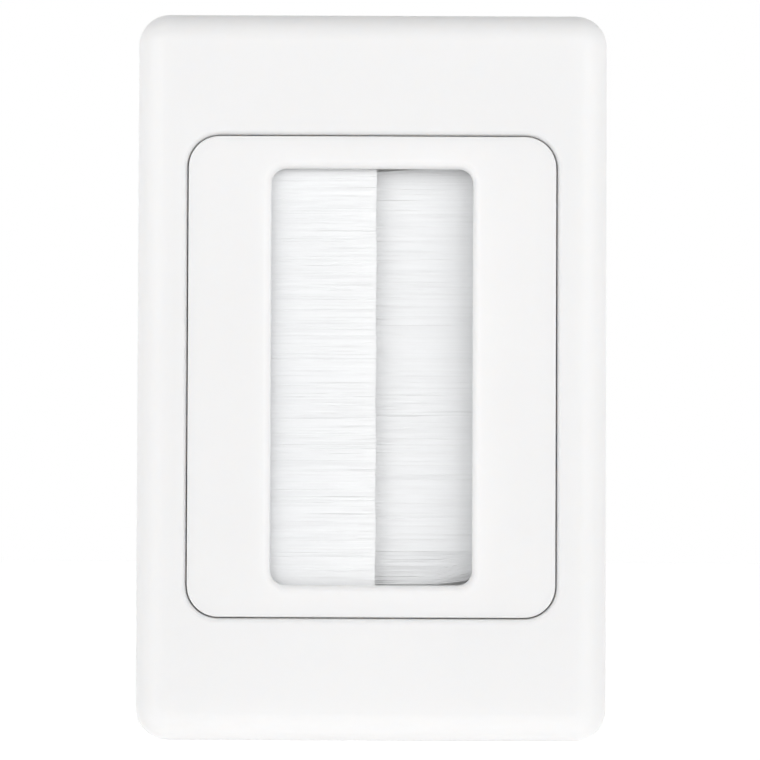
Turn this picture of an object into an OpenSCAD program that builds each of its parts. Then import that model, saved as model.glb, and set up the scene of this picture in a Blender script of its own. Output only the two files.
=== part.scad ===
// Brush wall plate: a clip-on surround over a grid plate whose raised panel holds two strip brushes.
// Every piece is drawn face up, with z as the height above the wall, and mounted() then stands it on the wall.
// The origin is the centre of the wall plane, the plate faces -Y and +Z is up.

/* [Surround] */
// Width of the whole plate
plate_w = 75; // [72:0.5:90]
// Height of the whole plate
plate_h = 116; // [114:0.5:130]
// Height of the front face above the wall
face_z = 9.5; // [9:0.1:12]
// Radius of the corners seen from the front
corner_r = 5; // [4.7:0.1:8]
// Radius of the rounded front edge
edge_r = 4.5; // [3:0.1:4.6]
// Thickness of the moulded shell
shell_t = 2; // [1.5:0.1:2.2]
// Height of the shell's rear edge above the wall
rear_gap = 0.2; // [0.1:0.1:0.5]
// Thickness of the collar round the window
collar_t = 1.6; // [1:0.1:1.6]
// Radius of the window's front edge
window_edge_r = 0.9; // [0.2:0.1:1]

/* [Island] */
// Height of the raised panel above and below the opening
panel_end = 5.1; // [5:0.1:6]
// Radius of the panel's corners
island_r = 5; // [3.5:0.1:6]
// Radius of the panel's front edge
island_edge_r = 0.3; // [0.2:0.1:0.8]
// Visible gap between the panel and the surround
island_gap = 0.2; // [0.15:0.05:0.5]
// Thickness of the panel
panel_t = 2.2; // [1.9:0.1:2.6]
// Thickness of the wall that carries the panel
island_wall = 1.8; // [1.5:0.1:2]
// Distance from the axis of a clamp screw to the side wall
screw_side = 2.6; // [2:0.1:3.2]
// Distance from the axis of a clamp screw to the end wall
screw_end = 6.5; // [5:0.1:12]
// Gap between a brush channel and the posts of the clamp screws
post_gap = 0.75; // [0.3:0.05:1.5]

/* [Cable opening] */
// Width of the opening for cables
opening_w = 32.2; // [28:0.2:33]
// Height of the opening for cables
opening_h = 66.4; // [60:0.2:66.8]
// Radius of the opening's corners
opening_r = 2.4; // [1.5:0.1:4]
// Radius of the opening's rounded front edge
opening_edge_r = 1.3; // [0.5:0.1:1.6]

/* [Grid plate] */
// Thickness of the flange that lies on the wall
flange_t = 3; // [2.8:0.1:3.4]
// Thickness of the flange over its rear pockets
flange_skin = 1.4; // [1.2:0.1:1.6]
// Thickness of the ribs between the rear pockets
rib_t = 1.4; // [1:0.1:2]
// Gap between the flange and the surround
flange_gap = 0.35; // [0.2:0.05:0.5]
// Distance from the panel's end to the axis of a wall screw
wall_screw_margin = 3.7; // [3.4:0.1:5]
// Radius of the wall screw holes
wall_hole_r = 2; // [1.8:0.05:2.1]
// Radius of the countersink for the wall screw heads
wall_head_r = 3.3; // [3:0.1:3.3]
// Radius of the boss round each wall screw hole
wall_boss_r = 4.6; // [4:0.1:5]

/* [Clip fit] */
// Distance of the clip lugs from the plate's middle
lug_y = 30; // [26:0.5:36]
// Length of each clip lug
lug_len = 8; // [5:0.5:10]
// Distance that a lug reaches in from the shell's wall
lug_reach = 1.1; // [0.9:0.05:1.2]
// Width of the pry notch in the lower edge
notch_w = 12; // [8:0.5:16]
// Depth of the pry notch
notch_h = 1.5; // [1:0.1:2]

/* [Brushes] */
// Width of each brush channel, across the opening
channel_w = 4.5; // [4.3:0.1:4.8]
// Thickness of each brush channel, front to back
channel_h = 4; // [3.9:0.1:4.2]
// Thickness of the channel's folded metal
channel_t = 0.5; // [0.4:0.05:0.55]
// Distance that the channels run past the ends of the opening
channel_overlap = 1; // [0.9:0.1:1.2]
// Distance from the opening's edge to the channel's mouth
channel_setback = 0.8; // [0.4:0.1:1]
// Gap between the left brush and the right one behind it
brush_gap = 0.4; // [0.3:0.05:0.6]
// Radius of the core wire in each channel
wire_r = 0.6; // [0.4:0.05:0.7]
// Radius of one tuft of bristles
tuft_r = 1.1; // [0.9:0.05:1.15]
// Distance between tufts, which is evened out to fill a row
tuft_pitch = 1; // [0.8:0.05:1.2]
// Distance that the left bristles reach past the middle
left_reach = 0.6; // [-1:0.1:3]
// Distance that the right bristles reach past the middle
right_reach = 3; // [1:0.1:5]
// Distance that the left row of tufts runs past the ends of the opening
left_overrun = 0.5; // [0:0.1:0.8]
// Distance that the right row of tufts runs past the opening's upper end
right_overrun = 0.4; // [0:0.1:0.8]
// Distance from the opening's lower end to the right row of tufts
right_trim = 2.3; // [0:0.1:3]

/* [Clamp frame] */
// Thickness of the frame that clamps the brushes from behind
clamp_t = 2.5; // [2.2:0.1:3]
// Gap between the clamp frame and the wall of the panel
clamp_gap = 0.4; // [0.2:0.05:0.6]
// Distance that the clamp frame stands back from each side of the opening
clamp_setback = 0.3; // [0:0.1:0.6]
// Depth of the ledge that the clamp frame leaves at each end of the opening
clamp_ledge = 2.2; // [1:0.1:4]

/* [Clamp screws] */
// Thickness of the plastic round each clamp screw
post_wall = 1.45; // [1:0.05:1.6]
// Radius of the screw thread
thread_r = 1.3; // [1.1:0.05:1.4]
// Length of the screw under its head
screw_len = 8; // [6:0.5:8]
// Radius of the pan head
head_r = 2.3; // [2:0.1:2.5]
// Height of the pan head
head_h = 1.8; // [1.5:0.1:2.2]

/* [Hidden] */

$fn = 72;
// Overrun that carries a cut clear of the face that it opens
over = 0.5;
// Depth that a rib is rooted in the wall that carries it
root = 0.6;

// Evenly spaced places, centred on the middle, over a length
function spread(count, length) = [for (n = [0:count - 1]) (n / (count - 1) - 0.5) * length];

// Panel, worked out from the opening through the brush channels and the screw posts to the side wall
mouth_x = opening_w / 2 + channel_setback;
channel_back = mouth_x + channel_w;
post_r = thread_r + post_wall;
clamp_screw_x = channel_back + post_gap + post_r;
cavity_w = 2 * (clamp_screw_x + screw_side);
island_w = cavity_w + 2 * island_wall;
island_h = opening_h + 2 * panel_end;
cavity_h = island_h - 2 * island_wall;
cavity_r = island_r - island_wall;
clamp_screw_y = cavity_h / 2 - screw_end;
panel_rear = face_z - panel_t;
wall_screw_y = island_h / 2 + wall_screw_margin;

// Window and shell
window_w = island_w + 2 * island_gap;
window_h = island_h + 2 * island_gap;
window_r = island_r + island_gap;
ceiling_z = face_z - shell_t;
inner_w = plate_w - 2 * shell_t;
inner_h = plate_h - 2 * shell_t;
// The collar ends just above the heads of the wall screws, which overlap its outline
head_room = 1;
collar_z = flange_t + head_room;
rest_rib_t = 1.2;
rest_rib_reach = 3;
// Distance from the shell's inner ends to the first rest ribs, along the sides and along the ends
rest_inset = 8;
rest_end_inset = 13.5;

// Flange and island
flange_w = inner_w - 2 * flange_gap;
flange_h = inner_h - 2 * flange_gap;
flange_r = corner_r - shell_t - flange_gap;
flange_edge_r = 0.5;
flange_rim = 2;
pocket_rib_inset = 9.15;

// Lugs hook under a lip at the flange's edge
lip_t = 1.4;
lug_clear = 0.15;
lug_top = flange_t - lip_t - lug_clear;
lug_base = rear_gap + 0.3;
lug_pocket = lug_reach + lug_clear;

// Brush stack from the panel back to the clamp frame
brush_step = 2 * tuft_r + brush_gap;
left_z = panel_rear - channel_h;
right_z = left_z - brush_step;
clamp_z = right_z;
channel_len = opening_h + 2 * channel_overlap;
left_row = opening_h + 2 * left_overrun;
right_row = opening_h + right_overrun - right_trim;
right_row_rise = (right_overrun + right_trim) / 2;
lip_gap = 2 * tuft_r + 0.1;
lip_len = 0.7;
loop_r = channel_h / 2 - channel_t - 0.05;
wire_clear = 0.05;
wire_len = channel_len - 1;
wire_x = channel_back - channel_t - loop_r - 0.05;
tip_spread = 0.25;
fence_t = 1.2;
fence_gap = 0.1;
stop_t = 1.4;
seat_len = 12;
seat_inset = 3.5;
bar_inset = 0.4;
bar_len = 8;
bar_margin = 9.5;

// Clamp frame and screws
clamp_w = cavity_w - 2 * clamp_gap;
clamp_h = cavity_h - 2 * clamp_gap;
clamp_r = cavity_r - clamp_gap;
clamp_rear = clamp_z - clamp_t;
clamp_opening_w = opening_w + 2 * clamp_setback;
clamp_opening_h = opening_h - 2 * clamp_ledge;
clamp_opening_r = 2;
thread_clear = 0.05;
hole_clear = 0.3;
tip_h = 1.5;
tip_r = 0.4;
recess_arm = 1.2;
recess_t = 0.5;
recess_depth = 1;

// Placing and rounded shapes

module mounted() rotate([90, 0, 0]) children();

// Half section of a block: x runs out from a corner's centre, y is the height. The front edge is rounded.
module block_profile(r, z0, z1, edge) {
    difference() {
        translate([0, z0]) square([r, z1 - z0]);
        translate([r - edge, z1 - edge]) difference() {
            square(edge + over);
            circle(r = edge);
        }
    }
}

// Half section of a cut with a rounded front edge that flares out by the radius of the edge
module mouth_profile(r, z0, z1, edge) {
    translate([0, z0]) square([r, z1 - edge - z0]);
    difference() {
        translate([0, z1 - edge]) square([r + edge, edge + over]);
        translate([r + edge, z1 - edge]) circle(r = edge);
    }
}

// Sweeps a half section round a rounded rectangle and fills the middle from z0 to z1
module swept_block(w, h, r, z0, z1) {
    for (turn = [0:3]) {
        across = turn % 2 == 0 ? w : h;
        along = turn % 2 == 0 ? h : w;
        rotate([0, 0, 90 * turn]) translate([across / 2 - r, along / 2 - r, 0]) {
            rotate_extrude(angle = 90) children();
            rotate([90, 0, 0]) linear_extrude(height = along - 2 * r) children();
        }
    }
    translate([r - w / 2, r - h / 2, z0]) cube([w - 2 * r, h - 2 * r, z1 - z0]);
}

// Block with rounded corners and a rounded front edge
module soft_block(w, h, r, z0, z1, edge) {
    swept_block(w, h, r, z0, z1) block_profile(r, z0, z1, edge);
}

// Block with rounded corners and square edges
module plain_block(w, h, r, z0, z1) {
    swept_block(w, h, r, z0, z1) translate([0, z0]) square([r, z1 - z0]);
}

// Cut with rounded corners whose front edge flares out at z1
module soft_cut(w, h, r, z0, z1, edge) {
    swept_block(w, h, r, z0, z1 + over) mouth_profile(r, z0, z1, edge);
}

// Box given by its low and high corners
module span(low, high) {
    translate(low) cube(high - low);
}

// Surround

module rest_ribs() {
    for (side = [0, 1], y = spread(4, inner_h - 2 * rest_inset)) {
        mirror([side, 0, 0])
            span([inner_w / 2 - rest_rib_reach, y - rest_rib_t / 2, flange_t],
                 [inner_w / 2 + root, y + rest_rib_t / 2, ceiling_z + root]);
    }
    for (side = [0, 1], x = spread(3, inner_w - 2 * rest_end_inset)) {
        mirror([0, side, 0])
            span([x - rest_rib_t / 2, inner_h / 2 - rest_rib_reach, flange_t],
                 [x + rest_rib_t / 2, inner_h / 2 + root, ceiling_z + root]);
    }
}

// Wedge that rides over the flange's edge and hooks under its lip
module clip_lug() {
    translate([inner_w / 2, lug_len / 2, 0]) rotate([90, 0, 0]) linear_extrude(height = lug_len)
        polygon([
            [root, lug_base], [0, lug_base], [-lug_reach, lug_top - 0.5],
            [-lug_reach, lug_top], [root, lug_top],
        ]);
}

module clip_lugs() {
    for (side = [0, 1], y = [-lug_y, lug_y]) {
        mirror([side, 0, 0]) translate([0, y, 0]) clip_lug();
    }
}

module surround() {
    color("white") mounted() difference() {
        union() {
            difference() {
                soft_block(plate_w, plate_h, corner_r, rear_gap, face_z, edge_r);
                soft_block(inner_w, inner_h, corner_r - shell_t, rear_gap - over, ceiling_z,
                           edge_r - shell_t);
            }
            plain_block(window_w + 2 * collar_t, window_h + 2 * collar_t, window_r + collar_t,
                        collar_z, ceiling_z + root);
            rest_ribs();
            clip_lugs();
        }
        soft_cut(window_w, window_h, window_r, collar_z - over, face_z, window_edge_r);
        span([-notch_w / 2, -plate_h / 2 - over, rear_gap - over],
             [notch_w / 2, over - inner_h / 2, rear_gap + notch_h]);
    }
}

// Grid plate

module wall_screw_places() {
    for (side = [-1, 1]) translate([0, side * wall_screw_y, 0]) children();
}

// Rear pockets above and below the island, left hollow round the ribs and the screw bosses
module rear_pockets() {
    pocket_low = island_h / 2;
    pocket_high = flange_h / 2 - flange_rim;
    for (side = [0, 1]) mirror([0, side, 0]) difference() {
        span([flange_rim - flange_w / 2, pocket_low, -over],
             [flange_w / 2 - flange_rim, pocket_high, flange_t - flange_skin]);
        for (x = spread(5, flange_w - 2 * (flange_rim + pocket_rib_inset))) {
            span([x - rib_t / 2, pocket_low - over, -2 * over],
                 [x + rib_t / 2, pocket_high + over, flange_t]);
        }
    }
}

module wall_bosses() {
    wall_screw_places() cylinder(r = wall_boss_r, h = flange_t);
}

// Hole with a countersink that leaves a straight wall at the rear
module wall_hole() {
    cone_h = wall_head_r - wall_hole_r;
    translate([0, 0, -over]) cylinder(r = wall_hole_r, h = flange_t + 2 * over);
    translate([0, 0, flange_t - cone_h]) cylinder(r1 = wall_hole_r, r2 = wall_head_r, h = cone_h);
    translate([0, 0, flange_t]) cylinder(r = wall_head_r, h = over);
}

module lug_pockets() {
    for (side = [0, 1], y = [-lug_y, lug_y]) mirror([side, 0, 0]) {
        span([flange_w / 2 + flange_gap - lug_pocket, y - lug_len / 2 - over, -over],
             [flange_w / 2 + over, y + lug_len / 2 + over, flange_t - lip_t]);
    }
}

module clamp_screw_places() {
    for (x = [-clamp_screw_x, clamp_screw_x], y = [-clamp_screw_y, clamp_screw_y]) {
        translate([x, y, 0]) children();
    }
}

// Posts that take the clamp screws, each joined to the island's wall by a web
module clamp_posts() {
    clamp_screw_places() translate([0, 0, clamp_z]) cylinder(r = post_r, h = panel_rear - clamp_z + root);
    for (side = [0, 1], y = [-clamp_screw_y, clamp_screw_y]) mirror([side, 0, 0]) {
        span([clamp_screw_x, y - rib_t / 2, clamp_z],
             [cavity_w / 2 + root, y + rib_t / 2, panel_rear + root]);
    }
}

module pilot_holes() {
    pilot_top = clamp_rear + screw_len + 0.4;
    clamp_screw_places() translate([0, 0, clamp_z - over])
        cylinder(r = thread_r + thread_clear, h = pilot_top - clamp_z + over);
}

// Fences beside the channels, stops at their ends and the ribs that the right channel lies against
module brush_seats() {
    fence_x = channel_back + fence_gap;
    seat_places = spread(5, channel_len - 2 * seat_inset);
    for (side = [0, 1]) mirror([side, 0, 0]) {
        for (n = [1, 3]) {
            span([fence_x, seat_places[n] - seat_len / 2, right_z + 1],
                 [fence_x + fence_t, seat_places[n] + seat_len / 2, panel_rear + root]);
        }
        for (end = [0, 1]) mirror([0, end, 0]) {
            span([mouth_x, channel_len / 2 + fence_gap, right_z + 1],
                 [fence_x, channel_len / 2 + fence_gap + stop_t, panel_rear + root]);
        }
    }
    for (y = seat_places) {
        span([mouth_x + root, y - rib_t / 2, left_z + channel_h - brush_step],
             [fence_x + fence_t, y + rib_t / 2, panel_rear + root]);
    }
}

module grid_plate() {
    color("white") mounted() difference() {
        union() {
            difference() {
                union() {
                    difference() {
                        soft_block(flange_w, flange_h, flange_r, 0, flange_t, flange_edge_r);
                        rear_pockets();
                    }
                    wall_bosses();
                    soft_block(island_w, island_h, island_r, 0, face_z, island_edge_r);
                }
                plain_block(cavity_w, cavity_h, cavity_r, -over, panel_rear);
            }
            clamp_posts();
            brush_seats();
        }
        soft_cut(opening_w, opening_h, opening_r, panel_rear - over, face_z, opening_edge_r);
        wall_screw_places() wall_hole();
        lug_pockets();
        pilot_holes();
    }
}

// Clamp frame

module clamp_frame() {
    color("white") mounted() difference() {
        union() {
            plain_block(clamp_w, clamp_h, clamp_r, clamp_rear, clamp_z);
            for (y = spread(4, channel_len - 2 * bar_margin)) {
                span([bar_inset - channel_back, y - bar_len / 2, clamp_rear + root],
                     [-mouth_x - bar_inset, y + bar_len / 2, left_z]);
            }
        }
        plain_block(clamp_opening_w, clamp_opening_h, clamp_opening_r, clamp_rear - over,
                    clamp_z + over);
        clamp_screw_places() translate([0, 0, clamp_rear - over])
            cylinder(r = thread_r + hole_clear, h = clamp_t + 2 * over);
    }
}

// Brushes, drawn for the right side with the mouth towards the middle

// Folded strip of metal with its two lips turned in on the bristles
module channel_profile() {
    half = channel_h / 2;
    inner_half = half - channel_t;
    fold_x = mouth_x + lip_len + 0.4;
    polygon([
        [channel_back, -half], [channel_back, half], [mouth_x, half], [mouth_x, lip_gap / 2],
        [mouth_x + lip_len, lip_gap / 2], [fold_x, inner_half],
        [channel_back - channel_t, inner_half], [channel_back - channel_t, -inner_half],
        [fold_x, -inner_half], [mouth_x + lip_len, -lip_gap / 2],
        [mouth_x, -lip_gap / 2], [mouth_x, -half],
    ]);
}

module brush_channel() {
    translate([0, channel_len / 2, 0]) rotate([90, 0, 0])
        linear_extrude(height = channel_len) channel_profile();
}

module brush_wire() {
    translate([wire_x, wire_len / 2, 0]) rotate([90, 0, 0]) cylinder(r = wire_r, h = wire_len);
}

// Row of tufts, each a little longer or shorter than the last, bent back round the wire
module brush_bristles(reach, row, rise) {
    loop_len = row - 2 * tuft_r;
    steps = round(loop_len / tuft_pitch);
    pitch = loop_len / steps;
    difference() {
        union() {
            translate([wire_x, rise + loop_len / 2, 0]) rotate([90, 0, 0])
                cylinder(r = loop_r, h = loop_len);
            for (n = [0:steps]) {
                tip = tip_spread * (sin(n * 137.5) + sin(n * 61)) / 2 - reach;
                translate([tip, rise + n * pitch - loop_len / 2, 0])
                    rotate([0, 90, 0]) cylinder(r = tuft_r, h = wire_x - tip);
            }
        }
        translate([wire_x, wire_len, 0]) rotate([90, 0, 0])
            cylinder(r = wire_r + wire_clear, h = 2 * wire_len);
    }
}

module at_right_brush() mounted() translate([0, 0, right_z + channel_h / 2]) children();

module at_left_brush() mounted() translate([0, 0, left_z + channel_h / 2]) mirror([1, 0, 0]) children();

module left_brush_channel() {
    color("lightgray") at_left_brush() brush_channel();
}

module left_brush_wire() {
    color("silver") at_left_brush() brush_wire();
}

module left_brush_bristles() {
    color("ghostwhite") at_left_brush() brush_bristles(left_reach, left_row, 0);
}

module right_brush_channel() {
    color("lightgray") at_right_brush() brush_channel();
}

module right_brush_wire() {
    color("silver") at_right_brush() brush_wire();
}

module right_brush_bristles() {
    color("ghostwhite") at_right_brush() brush_bristles(right_reach, right_row, right_row_rise);
}

// Clamp screws: pan heads on the rear of the clamp frame, points towards the panel

module clamp_screw(x, y) {
    color("silver") mounted() translate([x, y, clamp_rear]) {
        difference() {
            rotate_extrude() intersection() {
                translate([0, -head_h]) square([head_r, head_h]);
                translate([0, head_r * 1.2 - head_h]) circle(r = head_r * 1.2);
            }
            for (turn = [0, 90]) rotate([0, 0, turn])
                span([-recess_arm, -recess_t / 2, -head_h - over],
                     [recess_arm, recess_t / 2, recess_depth - head_h]);
        }
        cylinder(r = thread_r, h = screw_len - tip_h);
        translate([0, 0, screw_len - tip_h]) cylinder(r1 = thread_r, r2 = tip_r, h = tip_h);
    }
}

module clamp_screw_upper_left() clamp_screw(-clamp_screw_x, clamp_screw_y);
module clamp_screw_upper_right() clamp_screw(clamp_screw_x, clamp_screw_y);
module clamp_screw_lower_left() clamp_screw(-clamp_screw_x, -clamp_screw_y);
module clamp_screw_lower_right() clamp_screw(clamp_screw_x, -clamp_screw_y);

surround();
grid_plate();
clamp_frame();
left_brush_channel();
left_brush_wire();
left_brush_bristles();
right_brush_channel();
right_brush_wire();
right_brush_bristles();
clamp_screw_upper_left();
clamp_screw_upper_right();
clamp_screw_lower_left();
clamp_screw_lower_right();
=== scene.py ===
"""Finish of the brush wall plate: smooth mouldings, folded channels, screws and two rows of filaments."""

import math
from typing import NamedTuple

import bmesh
import bpy
import numpy as np
from bpy.props import FloatProperty, FloatVectorProperty, IntProperty, PointerProperty
from bpy.types import Operator, Panel, PropertyGroup
from mathutils import Matrix, Vector


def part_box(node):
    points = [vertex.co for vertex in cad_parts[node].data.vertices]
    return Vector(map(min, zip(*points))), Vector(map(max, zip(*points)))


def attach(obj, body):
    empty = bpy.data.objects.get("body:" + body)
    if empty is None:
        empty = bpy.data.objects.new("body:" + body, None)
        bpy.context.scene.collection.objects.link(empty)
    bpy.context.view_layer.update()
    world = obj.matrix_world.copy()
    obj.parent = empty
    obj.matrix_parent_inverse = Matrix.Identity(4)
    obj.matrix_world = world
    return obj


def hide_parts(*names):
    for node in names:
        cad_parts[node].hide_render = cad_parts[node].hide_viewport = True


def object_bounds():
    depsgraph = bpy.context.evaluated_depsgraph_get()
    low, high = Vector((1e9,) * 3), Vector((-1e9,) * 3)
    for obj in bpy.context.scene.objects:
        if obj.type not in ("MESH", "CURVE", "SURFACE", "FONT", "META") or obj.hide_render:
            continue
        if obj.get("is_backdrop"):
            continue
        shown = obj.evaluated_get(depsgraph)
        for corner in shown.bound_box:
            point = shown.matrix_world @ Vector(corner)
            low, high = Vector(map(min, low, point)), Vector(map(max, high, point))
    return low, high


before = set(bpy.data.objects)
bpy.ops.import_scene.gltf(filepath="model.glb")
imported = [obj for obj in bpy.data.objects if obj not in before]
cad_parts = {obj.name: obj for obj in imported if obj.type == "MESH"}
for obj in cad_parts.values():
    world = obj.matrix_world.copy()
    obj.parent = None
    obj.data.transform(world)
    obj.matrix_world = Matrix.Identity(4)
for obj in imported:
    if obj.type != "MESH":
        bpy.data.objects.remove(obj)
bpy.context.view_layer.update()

bl_info = {
    "name": "Brush Wall Plate",
    "version": (1, 0, 0),
    "blender": (4, 5, 0),
    "location": "3D View > Sidebar > Wall Plate",
    "description": "Mouldings, strip brushes and stage of a brush wall plate",
    "category": "Object",
}

MM = 0.001
BODY = "root"

# Slot, mean roughness and share of light that passes into the plastic, for each moulding
MOULDINGS = {
    "surround": ("surround_plastic", 0.38, 1.0),
    "grid_plate": ("grid_plastic", 0.38, 1.0),
    "clamp_frame": ("clamp_plastic", 0.5, 0.0),
}
CHANNELS = ("left_brush_channel", "right_brush_channel")
WIRES = ("left_brush_wire", "right_brush_wire")
SCREWS = (
    "clamp_screw_upper_left",
    "clamp_screw_upper_right",
    "clamp_screw_lower_left",
    "clamp_screw_lower_right",
)

# Angles in degrees past which an edge stays sharp
MOULDING_CREASE, CHANNEL_CREASE, WIRE_CREASE, SCREW_CREASE = 35, 30, 40, 35
# Points nearer than this are merged, and edges shorter than this dissolved
MERGE_DISTANCE, SLIVER_LENGTH = 1e-6, 1e-7

# For each brush: the side that its filaments start from, -1 left and 1 right, its seed, how far the tips at
# the row's upper end are pinched down, and how far those at its lower end droop
BRUSHES = {
    "left_brush": (-1, 11, 0.2 * MM, 0.0),
    "right_brush": (1, 18, 1.5 * MM, 2.4 * MM),
}
# Rings along a strand and corners of each ring
RINGS, SIDES = 6, 4
# Step that spreads the strands evenly through a brush's thickness, and the random part added to it
GOLDEN, LAYER_JITTER = (math.sqrt(5) - 1) / 2, 0.1
# As shares of the half thickness, how far in the innermost layer lies and how far layers flare at the tips
INNER_LAYER, FLARE = 0.6, 0.15
# Share of a clump by which its ends wander along the row, and how fast they do
CLUMP_WANDER, CLUMP_BEAT = 0.4, 1.7
# Usual lift of a clump off its layer at the tips, and range of its pull to its middle as a share of the way
CLUMP_LIFT, CLUMP_PULL = 0.01 * MM, (-0.02, 0.05)
# Usual height of the wave in a single strand, and range of its number of turns
WAVE_HEIGHT, WAVE_TURNS = 0.04 * MM, (0.6, 1.6)
# Height of the slow wave in the trimmed edge, and the length of row that one radian of it takes
TRIM_WAVE, TRIM_LENGTH = 0.05 * MM, 2.3 * MM
# As shares of its length, where a drooping strand starts to bend and how long the bend is
EARLY_BEND, LATE_BEND = (0.06, 0.2), (0.09, 0.36)
# How much deeper early strands lie near the row's lower end, and their share of the pinch
EARLY_DEPTH, EARLY_PINCH = 0.05 * MM, 0.7
# Usual random turn of a strand about its own length, in radians
ROLL = 0.12
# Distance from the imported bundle's end to the middle of the trimmed tips
TIP_ROOM = 0.25 * MM

# Noise scales per metre: flow marks, specks of gloss, drawn scratches and clouds of oxide
FLOW_SCALE, SPECK_SCALE, SCRATCH_SCALE, CLOUD_SCALE = 38.0, 900.0, 5200.0, 420.0
# Height of the grain and of the scratches
BUMP_DEPTH = 0.01 * MM
# How far light travels in the moulded plastic, and the share of that for each colour
MILKY_DEPTH, MILKY_TINT = 2 * MM, (1.0, 0.96, 0.92)

WHITE = (1, 1, 1, 1)
# Strength of the diffuse tent light at the horizon and overhead, and the height of a unit direction from
# which the second holds
TENT_SIDE, TENT_TOP, TENT_HEIGHT = 1.6, 0.05, 0.9
# Strength of the floor's own light, and what is added where the camera or a reflection sees it
FLOOR_GLOW, FLOOR_SEEN = 0.3, 0.3
# Half the floor's width, and its distance below the object
FLOOR_HALF, FLOOR_DROP = 4.0, 0.2 * MM
# Place in metres and power in watts of the soft boxes, and the length of their sides
LAMPS = {"Key": ((0.76, -0.93, 0.0), 4.45), "Fill": ((-0.76, -0.93, 0.0), 3.85)}
LAMP_SIZE = 1.0
# Width of the camera's sensor in millimetres
SENSOR = 36


# Sizes and colours


class BrushPlateBristles(PropertyGroup):
    """Numbers, sizes and colour of the filaments"""

    count: IntProperty(
        name="Filaments",
        description="Fine filaments in each brush",
        default=3700,
        min=100,
    )
    radius: FloatProperty(
        name="Radius",
        description="Radius of one filament",
        default=0.11 * MM,
        unit="LENGTH",
        precision=5,
    )
    half_thickness: FloatProperty(
        name="Half thickness",
        description="Half the thickness of the bundle at the channel's mouth",
        default=0.98 * MM,
        unit="LENGTH",
        precision=5,
    )
    core_count: IntProperty(
        name="Core strands",
        description="Thick strands in the core of each brush",
        default=800,
        min=10,
    )
    core_radius: FloatProperty(
        name="Core radius",
        description="Radius of a core strand",
        default=0.3 * MM,
        unit="LENGTH",
        precision=5,
    )
    core_setback: FloatProperty(
        name="Core setback",
        description="Distance of the core's end from the tips",
        default=0.05 * MM,
        unit="LENGTH",
        precision=5,
    )
    core_flat: FloatProperty(
        name="Core flatness",
        description="Thickness of a core strand as a share of its width",
        default=0.4,
        min=0.1,
        max=1,
    )
    core_stray: FloatProperty(
        name="Core stray",
        description="Share of the filaments' wander that the core strands follow",
        default=0.3,
        min=0,
        max=1,
    )
    fringe: FloatProperty(
        name="Fringe",
        description="Depth of the fringe at a row's ends that bends",
        default=3 * MM,
        unit="LENGTH",
        precision=5,
    )
    clump: FloatProperty(
        name="Clump",
        description="Distance between the clumps of filaments",
        default=1.3 * MM,
        unit="LENGTH",
        precision=5,
    )
    drift: FloatProperty(
        name="Drift",
        description="Sideways wander of a filament's tip",
        default=0.08 * MM,
        unit="LENGTH",
        precision=5,
    )
    trim: FloatProperty(
        name="Trim",
        description="Unevenness of the trimmed tips",
        default=0.06 * MM,
        unit="LENGTH",
        precision=5,
    )
    colour: FloatVectorProperty(
        name="Colour",
        description="Colour of the filaments",
        default=(0.93, 0.935, 0.94),
        subtype="COLOR",
        min=0,
        max=1,
    )


class BrushPlateFinish(PropertyGroup):
    """Colours of the plastic and metal, and the size of the plastic's grain"""

    moulding: FloatVectorProperty(
        name="Moulding",
        description="Colour of the surround and the grid plate",
        default=(0.885, 0.88, 0.878),
        subtype="COLOR",
        min=0,
        max=1,
    )
    # The clamp frame's white is lighter than the surround's, standing in for light that its deep recess does
    # not get: painted light
    clamp: FloatVectorProperty(
        name="Clamp frame",
        description="Colour of the clamp frame",
        default=(0.93, 0.93, 0.92),
        subtype="COLOR",
        min=0,
        max=1,
    )
    channel: FloatVectorProperty(
        name="Channel",
        description="Colour of the rolled channel metal",
        default=(0.62, 0.63, 0.64),
        subtype="COLOR",
        min=0,
        max=1,
    )
    zinc: FloatVectorProperty(
        name="Zinc",
        description="Colour of the plated screws and core wires",
        default=(0.56, 0.56, 0.57),
        subtype="COLOR",
        min=0,
        max=1,
    )
    grain: FloatProperty(
        name="Grain",
        description="Size of the mouldings' spark-eroded grain",
        default=0.22 * MM,
        unit="LENGTH",
        precision=5,
    )


class BrushPlateStage(PropertyGroup):
    """Place and field of the camera"""

    view_distance: FloatProperty(
        name="View distance",
        description="Distance of the camera from the front face",
        default=0.75,
        unit="LENGTH",
    )
    view_rise: FloatProperty(
        name="View rise",
        description="Angle of the camera above the horizon",
        default=math.radians(-1.8),
        unit="ROTATION",
    )
    view_roll: FloatProperty(
        name="View roll",
        description="Clockwise turn of the picture",
        default=math.radians(0.22),
        unit="ROTATION",
    )
    field: FloatProperty(
        name="Field",
        description="Width of the picture at the front face",
        default=120.9 * MM,
        unit="LENGTH",
    )
    centre: FloatVectorProperty(
        name="Picture centre",
        description="Point of the front face at the picture's centre",
        default=(1.31 * MM, -0.56 * MM),
        size=2,
        unit="LENGTH",
    )


# Meshes


class Bundle(NamedTuple):
    """Place of a brush in metres: start and tips in x, the row's ends in z, the middle in y, and the bends."""

    side: int
    root: float
    tip: float
    row: tuple
    middle: float
    pinch: float
    droop: float


class Strand(NamedTuple):
    """One kind of strand: its number, radius, thickness over width, reach to either side of the middle,
    share of the wander, and distance from the tips."""

    count: int
    radius: float
    flat: float
    reach: float
    stray: float
    setback: float


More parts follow.
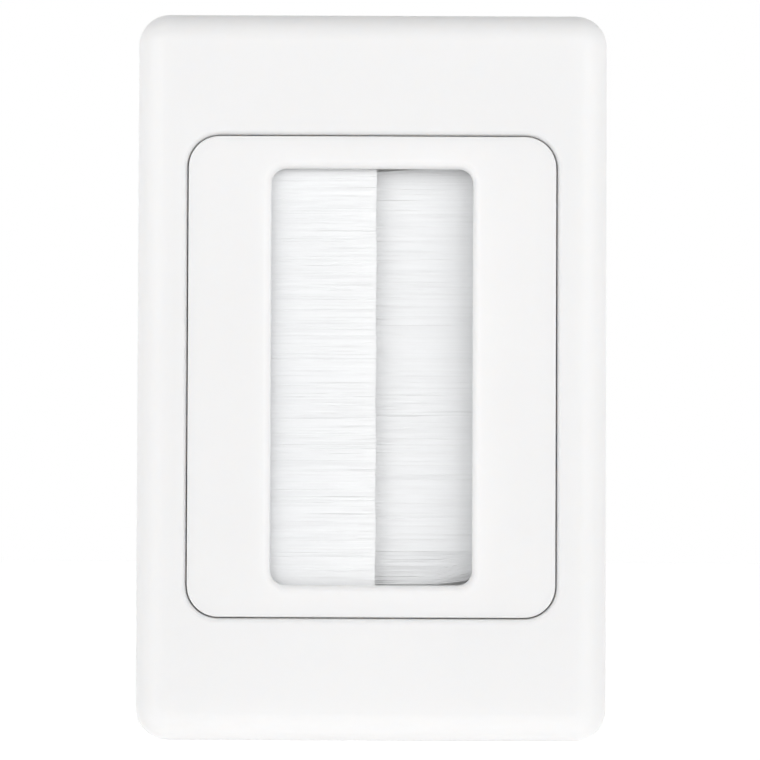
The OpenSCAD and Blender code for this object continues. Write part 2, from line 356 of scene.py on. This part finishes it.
def mesh_object(name, points, faces):
    """A linked object from an array of points and an array of faces with the same number of corners.

    The faces are flat, because smooth normals on a tube as thin as a filament swallow light.
    """
    mesh = bpy.data.meshes.new(name)
    corners = faces.shape[1]
    mesh.vertices.add(len(points))
    mesh.vertices.foreach_set("co", np.ascontiguousarray(points, np.float32).ravel())
    mesh.loops.add(faces.size)
    mesh.loops.foreach_set("vertex_index", np.ascontiguousarray(faces, np.int32).ravel())
    mesh.polygons.add(len(faces))
    mesh.polygons.foreach_set("loop_start", np.arange(0, faces.size, corners, dtype=np.int32))
    mesh.polygons.foreach_set("use_smooth", np.zeros(len(faces), bool))
    mesh.update(calc_edges=True)
    mesh.validate()
    obj = bpy.data.objects.new(name, mesh)
    bpy.context.scene.collection.objects.link(obj)
    return obj


def smooth_copy(node, name, crease):
    """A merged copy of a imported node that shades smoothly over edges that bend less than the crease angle.

    Each corner normal is the mean of its smooth neighbours' normals, weighted by their areas, so that flat
    faces stay flat.
    """
    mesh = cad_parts[node].data.copy()
    mesh.name = name
    mesh.materials.clear()
    bm = bmesh.new()
    bm.from_mesh(mesh)
    bmesh.ops.remove_doubles(bm, verts=bm.verts, dist=MERGE_DISTANCE)
    bmesh.ops.dissolve_degenerate(bm, edges=bm.edges, dist=SLIVER_LENGTH)
    for face in bm.faces:
        face.smooth = True
    for edge in bm.edges:
        edge.smooth = len(edge.link_faces) == 2 and edge.calc_face_angle(math.pi) < math.radians(crease)
    bm.to_mesh(mesh)
    bm.free()
    if "custom_normal" in mesh.attributes:
        mesh.attributes.remove(mesh.attributes["custom_normal"])
    obj = bpy.data.objects.new(name, mesh)
    bpy.context.scene.collection.objects.link(obj)
    weighted = obj.modifiers.new("Area weighted normals", "WEIGHTED_NORMAL")
    weighted.mode = "FACE_AREA"
    weighted.keep_sharp = True
    return obj


def dress(obj, node, material):
    """Gives a piece its material, puts it on its body and lets it stand for its node."""
    obj.data.materials.append(material)
    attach(obj, BODY)
    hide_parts(node)


def tube_faces(count, flip):
    """Quads of a stack of square tubes whose rings of points follow each other, with a cap at both ends."""
    start = (np.arange(count) * RINGS * SIDES)[:, None, None]
    ring = (np.arange(RINGS - 1) * SIDES)[None, :, None]
    here = np.arange(SIDES)[None, None, :]
    after = (here + 1) % SIDES
    near = start + ring
    far = near + SIDES
    walls = np.stack([near + here, near + after, far + after, far + here], axis=-1).reshape(-1, SIDES)
    first = start[:, :, 0] + np.arange(SIDES)[::-1]
    last = start[:, :, 0] + (RINGS - 1) * SIDES + np.arange(SIDES)
    faces = np.concatenate([walls, first, last])
    return faces[:, ::-1] if flip else faces


def strands(bundle, kind, look, rng):
    """Points, distances along and tones of one kind of strand, square tubes from the wire to the tips.

    With t from 0 at the root to 1 at the tip, a strand's middle lies at
    x = root + (tip - root) t, where the tips scatter about a slow wave along the row,
    z = its place in the row + (its drift + its clump's pull) t^2 + a sine wave that grows with t, kept inside
    the row, then lowered by pinch t^3 near the upper end and by droop times a smooth step of t near the lower,
    y = the brush's middle - its layer, which flares with t, - its clump's lift t^2.
    Every other strand lies in the front half of the brush. Every other pair is early: it droops sooner and
    lies a little deeper there, and is pinched less.
    """
    low, high = bundle.row[0] + kind.radius, bundle.row[1] - kind.radius
    order = np.arange(kind.count)
    place = low + (high - low) * (order + rng.uniform(0, 1, kind.count)) / kind.count
    inward = (order * GOLDEN + rng.uniform(0, LAYER_JITTER, kind.count)) % 1
    layer = np.where(order % 2, 1, -1) * (1 - INNER_LAYER * inward**2) * kind.reach
    clump = np.round(place / look.clump + CLUMP_WANDER * np.sin(place / look.clump * CLUMP_BEAT))
    ids = (clump - clump.min()).astype(int)
    lift = rng.normal(0, CLUMP_LIFT, ids.max() + 1)[ids]
    pull = rng.uniform(*CLUMP_PULL, ids.max() + 1)[ids] * (clump * look.clump - place)
    drift = rng.normal(0, look.drift, kind.count)
    wave = np.abs(rng.normal(0, WAVE_HEIGHT, kind.count))
    phase = rng.uniform(0, 2 * math.pi, kind.count)
    turns = rng.uniform(*WAVE_TURNS, kind.count)
    trim = rng.normal(0, look.trim, kind.count) + TRIM_WAVE * np.sin(place / TRIM_LENGTH)
    end = bundle.tip + bundle.side * kind.setback - bundle.side * trim

    t = np.linspace(0, 1, RINGS)[None, :]
    x = bundle.root + (end[:, None] - bundle.root) * t
    z = kind.stray * (drift + pull)[:, None] * t**2
    z = z + kind.stray * wave[:, None] * np.sin(2 * math.pi * turns[:, None] * t + phase[:, None]) * t
    z = np.clip(place[:, None] + z, low, high)
    near_top, near_foot = (np.clip(1 - gap / look.fringe, 0, 1)[:, None] for gap in (high - place, place - low))
    early = ((order // 2) % 2 == 1)[:, None]
    start, span = (np.where(early, *pair) for pair in zip(EARLY_BEND, LATE_BEND))
    step = np.clip((t - start) / span, 0, 1)
    step = step**2 * (3 - 2 * step)
    z = z - bundle.pinch * np.where(early, EARLY_PINCH, 1) * near_top * t**3 - bundle.droop * near_foot * step
    y = bundle.middle - (layer[:, None] * (1 + FLARE * t) + lift[:, None] * t**2)
    y = y + np.where(early, EARLY_DEPTH, 0) * near_foot * step

    roll = rng.normal(0, ROLL, kind.count)[:, None, None]
    angle = np.arange(SIDES) * (2 * math.pi / SIDES) + math.pi / 4 + roll
    points = np.empty((kind.count, RINGS, SIDES, 3))
    points[..., 0] = x[:, :, None]
    points[..., 1] = y[:, :, None] + kind.flat * kind.radius * np.cos(angle)
    points[..., 2] = z[:, :, None] + kind.radius * np.sin(angle)
    along = np.broadcast_to(t[:, :, None], points.shape[:3])
    tone = np.broadcast_to(rng.uniform(0, 1, kind.count)[:, None, None], points.shape[:3])
    return points.reshape(-1, 3), along.ravel(), tone.ravel()


def filaments(name, bundle, look, seed):
    """One brush: fine filaments round a core of thick strands, which stand for its packed inside."""
    rng = np.random.default_rng(seed)
    fine = Strand(count=look.count, radius=look.radius, flat=1, reach=look.half_thickness, stray=1, setback=0)
    core = Strand(
        count=look.core_count,
        radius=look.core_radius,
        flat=look.core_flat,
        reach=look.half_thickness - look.core_radius * look.core_flat,
        stray=look.core_stray,
        setback=look.core_setback,
    )
    sets = [strands(bundle, kind, look, rng) for kind in (fine, core)]
    points, along, tone = (np.concatenate(pair) for pair in zip(*sets))
    obj = mesh_object(name, points, tube_faces(fine.count + core.count, bundle.side > 0))
    for label, values in (("along", along), ("tone", tone)):
        attribute = obj.data.attributes.new(label, "FLOAT", "POINT")
        attribute.data.foreach_set("value", values.astype(np.float32))
    return obj


# Node groups


def new_group(name, inputs, outputs):
    """An empty shader node group with its sockets, returned with its input and output nodes.

    The inputs are their defaults by name, where a tuple is a colour. Of the outputs, Colour is a colour.
    """
    group = bpy.data.node_groups.new(name, "ShaderNodeTree")
    for label, default in inputs.items():
        kind = "NodeSocketColor" if isinstance(default, tuple) else "NodeSocketFloat"
        socket = group.interface.new_socket(name=label, in_out="INPUT", socket_type=kind)
        socket.default_value = default
    for label in outputs:
        kind = "NodeSocketColor" if label == "Colour" else "NodeSocketFloat"
        group.interface.new_socket(name=label, in_out="OUTPUT", socket_type=kind)
    return group, group.nodes.new("NodeGroupInput"), group.nodes.new("NodeGroupOutput")


def feed(tree, value, socket):
    """Links a socket to another one's output, or sets it to a plain value."""
    if isinstance(value, bpy.types.NodeSocket):
        tree.links.new(value, socket)
    else:
        socket.default_value = value


def math_node(tree, operation, first, second):
    """A math node whose operands are sockets or numbers."""
    node = tree.nodes.new("ShaderNodeMath")
    node.operation = operation
    feed(tree, first, node.inputs[0])
    feed(tree, second, node.inputs[1])
    return node.outputs[0]


def line_node(tree, value, slope, start):
    """The value times the slope, plus the start."""
    return math_node(tree, "ADD", math_node(tree, "MULTIPLY", value, slope), start)


def centred_line_node(tree, value, slope, start):
    """The value less a half, times the slope, plus the start."""
    return line_node(tree, math_node(tree, "SUBTRACT", value, 0.5), slope, start)


def shaded_node(tree, colour, shade):
    """The colour with its brightness multiplied by the shade."""
    node = tree.nodes.new("ShaderNodeHueSaturation")
    feed(tree, colour, node.inputs["Color"])
    feed(tree, shade, node.inputs["Value"])
    return node.outputs["Color"]


def noise_node(tree, vector, scale, detail, roughness=0.5):
    """A noise texture on the given coordinates, as a value round a half."""
    node = tree.nodes.new("ShaderNodeTexNoise")
    node.inputs["Detail"].default_value = detail
    node.inputs["Roughness"].default_value = roughness
    feed(tree, vector, node.inputs["Vector"])
    feed(tree, scale, node.inputs["Scale"])
    return node.outputs["Fac"]


def moulded_skin_group():
    """Moulded plastic: a fine spark-eroded grain as height, slow flow marks in tone and a broken gloss."""
    group, given, out = new_group(
        "Moulded skin",
        {"Colour": (0.9, 0.9, 0.9, 1), "Grain": 4500.0, "Roughness": 0.36, "Variation": 0.02},
        ("Colour", "Roughness", "Height"),
    )
    speck_contrast = 0.12
    place = group.nodes.new("ShaderNodeTexCoord").outputs["Object"]
    grain = noise_node(group, place, given.outputs["Grain"], detail=3.0, roughness=0.6)
    flow = noise_node(group, place, FLOW_SCALE, detail=2.0)
    speck = noise_node(group, place, SPECK_SCALE, detail=1.0)
    shade = centred_line_node(group, flow, given.outputs["Variation"], 1.0)
    rough = centred_line_node(group, speck, speck_contrast, given.outputs["Roughness"])
    feed(group, shaded_node(group, given.outputs["Colour"], shade), out.inputs["Colour"])
    feed(group, rough, out.inputs["Roughness"])
    feed(group, grain, out.inputs["Height"])
    return group


def drawn_metal_group():
    """Rolled or drawn metal: fine scratches stretched along Z, cloudy oxide and a matching roughness.

    Stretch is the share of the noise's scale that is left along Z.
    """
    group, given, out = new_group(
        "Drawn metal",
        {"Colour": (0.6, 0.6, 0.6, 1), "Stretch": 0.04, "Cloud": 0.25},
        ("Colour", "Roughness", "Height"),
    )
    clean_shade = 1.1
    clean_roughness, scratch_contrast, oxide_contrast = 0.22, 0.25, 0.4
    place = group.nodes.new("ShaderNodeTexCoord").outputs["Object"]
    scale = group.nodes.new("ShaderNodeCombineXYZ")
    feed(group, 1.0, scale.inputs["X"])
    feed(group, 1.0, scale.inputs["Y"])
    feed(group, given.outputs["Stretch"], scale.inputs["Z"])
    drawn = group.nodes.new("ShaderNodeVectorMath")
    drawn.operation = "MULTIPLY"
    feed(group, place, drawn.inputs[0])
    feed(group, scale.outputs[0], drawn.inputs[1])
    scratches = noise_node(group, drawn.outputs[0], SCRATCH_SCALE, detail=3.0, roughness=0.65)
    cloud = noise_node(group, place, CLOUD_SCALE, detail=4.0)
    oxide = math_node(group, "MULTIPLY", cloud, given.outputs["Cloud"])
    shade = math_node(group, "SUBTRACT", clean_shade, oxide)
    rough = line_node(group, scratches, scratch_contrast, clean_roughness)
    rough = line_node(group, oxide, oxide_contrast, rough)
    feed(group, shaded_node(group, given.outputs["Colour"], shade), out.inputs["Colour"])
    feed(group, rough, out.inputs["Roughness"])
    feed(group, scratches, out.inputs["Height"])
    return group


def filament_tone_and_shade_group():
    """Filament colour from its own tone and its distance along: painted shade greys the root and fades out to
    the filaments' own colour at the tip.
    """
    group, given, out = new_group(
        "Filament tone and root shade",
        # The darker root colour is painted shade, standing for the shade of the opening's walls on the
        # filaments' roots
        {"Colour": (0.9, 0.9, 0.9, 1), "Root shade": (0.875, 0.884, 0.895, 1), "Variation": 0.025},
        ("Colour", "Roughness"),
    )
    root_shade_power = 1.2
    least_roughness, roughness_range = 0.34, 0.2
    along = group.nodes.new("ShaderNodeAttribute")
    along.attribute_name = "along"
    tone = group.nodes.new("ShaderNodeAttribute")
    tone.attribute_name = "tone"
    # Painted shade: strongest at the root, fading to the filaments' own colour at the tip
    root_shade = group.nodes.new("ShaderNodeMix")
    root_shade.data_type = "RGBA"
    feed(group, math_node(group, "POWER", along.outputs["Fac"], root_shade_power), root_shade.inputs["Factor"])
    feed(group, given.outputs["Root shade"], root_shade.inputs["A"])
    feed(group, given.outputs["Colour"], root_shade.inputs["B"])
    shade = centred_line_node(group, tone.outputs["Fac"], given.outputs["Variation"], 1.0)
    rough = line_node(group, tone.outputs["Fac"], roughness_range, least_roughness)
    feed(group, shaded_node(group, root_shade.outputs["Result"], shade), out.inputs["Colour"])
    feed(group, rough, out.inputs["Roughness"])
    return group


GROUP_MAKERS = {
    "Moulded skin": moulded_skin_group,
    "Drawn metal": drawn_metal_group,
    "Filament tone and root shade": filament_tone_and_shade_group,
}


# Materials


def new_material(name, group_name, effects, settings, bump=None):
    """A material with one principled shader that takes its colour and roughness from the named group.

    The effects are the group's inputs, and the settings are the shader's own. Where a bump strength is given,
    the group's height tilts the shader's normal. The group is built on its first use.
    """
    material = bpy.data.materials.new(name)
    material.use_nodes = True
    tree = material.node_tree
    shader = tree.nodes["Principled BSDF"]
    group = tree.nodes.new("ShaderNodeGroup")
    group.node_tree = bpy.data.node_groups.get(group_name) or GROUP_MAKERS[group_name]()
    for node, values in ((group, effects), (shader, settings)):
        for label, value in values.items():
            node.inputs[label].default_value = value
    feed(tree, group.outputs["Colour"], shader.inputs["Base Color"])
    feed(tree, group.outputs["Roughness"], shader.inputs["Roughness"])
    if bump is not None:
        relief = tree.nodes.new("ShaderNodeBump")
        relief.inputs["Strength"].default_value = bump
        relief.inputs["Distance"].default_value = BUMP_DEPTH
        feed(tree, group.outputs["Height"], relief.inputs["Height"])
        feed(tree, relief.outputs["Normal"], shader.inputs["Normal"])
    return material


def moulding_material(name, colour, roughness, milky, grain):
    """White moulded plastic with a satin skin, milky where light passes into it."""
    effects = {"Colour": (*colour, 1), "Grain": 1 / grain, "Roughness": roughness, "Variation": 0.03}
    settings = {
        "IOR": 1.46,
        "Subsurface Weight": milky,
        "Subsurface Radius": MILKY_TINT,
        "Subsurface Scale": MILKY_DEPTH,
    }
    return new_material(name, "Moulded skin", effects, settings, bump=0.12)


def metal_material(name, colour, stretch, cloud):
    """Bare or plated metal with a drawn grain."""
    effects = {"Colour": (*colour, 1), "Stretch": stretch, "Cloud": cloud}
    return new_material(name, "Drawn metal", effects, {"Metallic": 1.0}, bump=0.2)


def filament_material(name, colour):
    """Soft white nylon with a faint sheen."""
    settings = {"IOR": 1.5, "Specular IOR Level": 0.35, "Sheen Weight": 0.15, "Sheen Roughness": 0.4}
    return new_material(name, "Filament tone and root shade", {"Colour": (*colour, 1)}, settings)


# Pieces


class BRUSHPLATE_OT_mouldings(Operator):
    """Surround, grid plate and clamp frame in satin white plastic"""

    bl_idname = "brushplate.mouldings"
    bl_label = "Add Mouldings"

    def execute(self, context):
        finish = context.scene.brush_plate_finish
        for node, (slot, roughness, milky) in MOULDINGS.items():
            # The clamp frame takes the lighter white, painted light for its shaded recess
            colour = finish.clamp if node == "clamp_frame" else finish.moulding
            plastic = moulding_material(f"{node} plastic", colour, roughness, milky, finish.grain)
            dress(smooth_copy(node, f"{node}_moulding", MOULDING_CREASE), node, plastic)
        return {"FINISHED"}


class BRUSHPLATE_OT_channels(Operator):
    """Folded metal channels and their core wires"""

    bl_idname = "brushplate.channels"
    bl_label = "Add Brush Channels"

    def execute(self, context):
        finish = context.scene.brush_plate_finish
        rolled = metal_material("Rolled channel", finish.channel, stretch=0.03, cloud=0.3)
        drawn = metal_material("Core wire", finish.zinc, stretch=0.02, cloud=0.15)
        for node in CHANNELS:
            dress(smooth_copy(node, f"{node}_strip", CHANNEL_CREASE), node, rolled)
        for node in WIRES:
            dress(smooth_copy(node, f"{node}_core", WIRE_CREASE), node, drawn)
        return {"FINISHED"}


class BRUSHPLATE_OT_screws(Operator):
    """Plated clamp screws on the rear of the clamp frame"""

    bl_idname = "brushplate.screws"
    bl_label = "Add Clamp Screws"

    def execute(self, context):
        finish = context.scene.brush_plate_finish
        plated = metal_material("Plated screw", finish.zinc, stretch=1.0, cloud=0.35)
        for node in SCREWS:
            dress(smooth_copy(node, f"{node}_plated", SCREW_CREASE), node, plated)
        return {"FINISHED"}


class BRUSHPLATE_OT_bristles(Operator):
    """Two rows of trimmed white filaments, the left one in front"""

    bl_idname = "brushplate.bristles"
    bl_label = "Add Bristles"

    def execute(self, context):
        look = context.scene.brush_plate_bristles
        nylon = filament_material("Nylon filament", look.colour)
        for brush, (side, seed, pinch, droop) in BRUSHES.items():
            low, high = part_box(f"{brush}_bristles")
            wire_low, wire_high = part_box(f"{brush}_wire")
            bundle = Bundle(
                side=side,
                root=(wire_low.x + wire_high.x) / 2,
                tip=(high.x if side < 0 else low.x) + side * TIP_ROOM,
                row=(low.z, high.z),
                middle=(wire_low.y + wire_high.y) / 2,
                pinch=pinch,
                droop=droop,
            )
            obj = filaments(f"{brush}_filaments", bundle, look, seed)
            dress(obj, f"{brush}_bristles", nylon)
        return {"FINISHED"}


# Stage


def seen_node(tree):
    """One for the camera, reflections and looks through glass, and zero for diffuse light."""
    paths = tree.nodes.new("ShaderNodeLightPath")
    seen = math_node(tree, "MAXIMUM", paths.outputs["Is Camera Ray"], paths.outputs["Is Glossy Ray"])
    return math_node(tree, "MAXIMUM", seen, paths.outputs["Is Transmission Ray"])


def world_light(world):
    """A light tent: plain white where it is seen, and for diffuse light bright at the sides, dim overhead."""
    world.use_nodes = True
    tree = world.node_tree
    tree.nodes.clear()
    direction = tree.nodes.new("ShaderNodeTexCoord").outputs["Generated"]
    split = tree.nodes.new("ShaderNodeSeparateXYZ")
    feed(tree, direction, split.inputs[0])
    ramp = tree.nodes.new("ShaderNodeMapRange")
    ramp.inputs["From Min"].default_value = 0.0
    ramp.inputs["From Max"].default_value = TENT_HEIGHT
    ramp.inputs["To Min"].default_value = TENT_SIDE
    ramp.inputs["To Max"].default_value = TENT_TOP
    feed(tree, split.outputs["Z"], ramp.inputs["Value"])
    mix = tree.nodes.new("ShaderNodeMixShader")
    feed(tree, seen_node(tree), mix.inputs[0])
    for strength, socket in ((ramp.outputs["Result"], mix.inputs[1]), (1.0, mix.inputs[2])):
        light = tree.nodes.new("ShaderNodeBackground")
        light.inputs["Color"].default_value = WHITE
        feed(tree, strength, light.inputs["Strength"])
        feed(tree, light.outputs[0], socket)
    out = tree.nodes.new("ShaderNodeOutputWorld")
    feed(tree, mix.outputs[0], out.inputs["Surface"])


def floor_material():
    """Pale floor that reads as white to the camera and still takes the object's shadow."""
    material = bpy.data.materials.new("Pale floor")
    material.use_nodes = True
    tree = material.node_tree
    shader = tree.nodes["Principled BSDF"]
    shader.inputs["Base Color"].default_value = (0.86, 0.86, 0.86, 1)
    shader.inputs["Roughness"].default_value = 0.9
    shader.inputs["Specular IOR Level"].default_value = 0.0
    shader.inputs["Emission Color"].default_value = WHITE
    feed(tree, line_node(tree, seen_node(tree), FLOOR_SEEN, FLOOR_GLOW), shader.inputs["Emission Strength"])
    return material


def soft_box(name, place, power):
    """A square lamp at a place, pointed at the origin."""
    lamp = bpy.data.lights.new(name, "AREA")
    lamp.shape = "SQUARE"
    lamp.size = LAMP_SIZE
    lamp.energy = power
    obj = bpy.data.objects.new(name, lamp)
    obj.location = place
    obj.rotation_mode = "QUATERNION"
    obj.rotation_quaternion = (Vector((0, 0, 0)) - Vector(place)).to_track_quat("-Z", "Y")
    bpy.context.scene.collection.objects.link(obj)


def add_camera(stage, front):
    """A camera in front of the front face and a little below it, at the distance and field of the stage."""
    camera = bpy.data.objects.new("Camera", bpy.data.cameras.new("Camera"))
    bpy.context.scene.collection.objects.link(camera)
    camera.data.sensor_width = SENSOR
    camera.data.lens = SENSOR * stage.view_distance / stage.field
    camera.data.clip_start = 0.01
    camera.data.clip_end = 20
    target = Vector((stage.centre[0], front, stage.centre[1]))
    back = Vector((0, -math.cos(stage.view_rise), math.sin(stage.view_rise)))
    turn = (-back).to_track_quat("-Z", "Y").to_matrix().to_4x4() @ Matrix.Rotation(stage.view_roll, 4, "Z")
    camera.rotation_mode = "QUATERNION"
    camera.matrix_world = Matrix.Translation(target + back * stage.view_distance) @ turn
    bpy.context.scene.camera = camera


class BRUSHPLATE_OT_stage(Operator):
    """Pale floor, soft lights and the camera at the photo's angle"""

    bl_idname = "brushplate.stage"
    bl_label = "Add Stage"

    def execute(self, context):
        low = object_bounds()[0]
        square = np.array([[-1, -1], [1, -1], [1, 1], [-1, 1]]) * FLOOR_HALF
        corners = np.column_stack([square, np.full(4, low.z - FLOOR_DROP)])
        floor = mesh_object("Floor", corners, np.array([[0, 1, 2, 3]]))
        floor.data.materials.append(floor_material())
        floor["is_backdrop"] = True
        world = bpy.data.worlds.new("Light tent")
        context.scene.world = world
        world_light(world)
        for name, (place, power) in LAMPS.items():
            soft_box(name, place, power)
        add_camera(context.scene.brush_plate_stage, low.y)
        context.scene.view_settings.view_transform = "Standard"
        return {"FINISHED"}


class BRUSHPLATE_PT_panel(Panel):
    """Sidebar panel with the wall plate's settings and the buttons that add its pieces"""

    bl_idname = "BRUSHPLATE_PT_panel"
    bl_label = "Brush Wall Plate"
    bl_space_type = "VIEW_3D"
    bl_region_type = "UI"
    bl_category = "Wall Plate"

    def draw(self, context):
        layout = self.layout
        for group in SETTINGS:
            settings = getattr(context.scene, group)
            for label in settings.bl_rna.properties.keys():
                if label not in ("name", "rna_type"):
                    layout.prop(settings, label)
        for operator in OPERATORS:
            layout.operator(operator.bl_idname)


OPERATORS = (
    BRUSHPLATE_OT_mouldings,
    BRUSHPLATE_OT_channels,
    BRUSHPLATE_OT_screws,
    BRUSHPLATE_OT_bristles,
    BRUSHPLATE_OT_stage,
)
SETTINGS = {
    "brush_plate_finish": BrushPlateFinish,
    "brush_plate_bristles": BrushPlateBristles,
    "brush_plate_stage": BrushPlateStage,
}


def register():
    """Makes the settings, operators and panel known to Blender and puts the settings on the scene."""
    for cls in (*SETTINGS.values(), *OPERATORS, BRUSHPLATE_PT_panel):
        bpy.utils.register_class(cls)
    for name, settings in SETTINGS.items():
        setattr(bpy.types.Scene, name, PointerProperty(type=settings))


def unregister():
    """Takes back what register did."""
    for name in SETTINGS:
        delattr(bpy.types.Scene, name)
    for cls in (BRUSHPLATE_PT_panel, *reversed(OPERATORS), *SETTINGS.values()):
        bpy.utils.unregister_class(cls)


def main():
    """Builds the whole scene."""
    register()
    bpy.ops.brushplate.mouldings()
    bpy.ops.brushplate.channels()
    bpy.ops.brushplate.screws()
    bpy.ops.brushplate.bristles()
    bpy.ops.brushplate.stage()


if __name__ == "__main__":
    main()
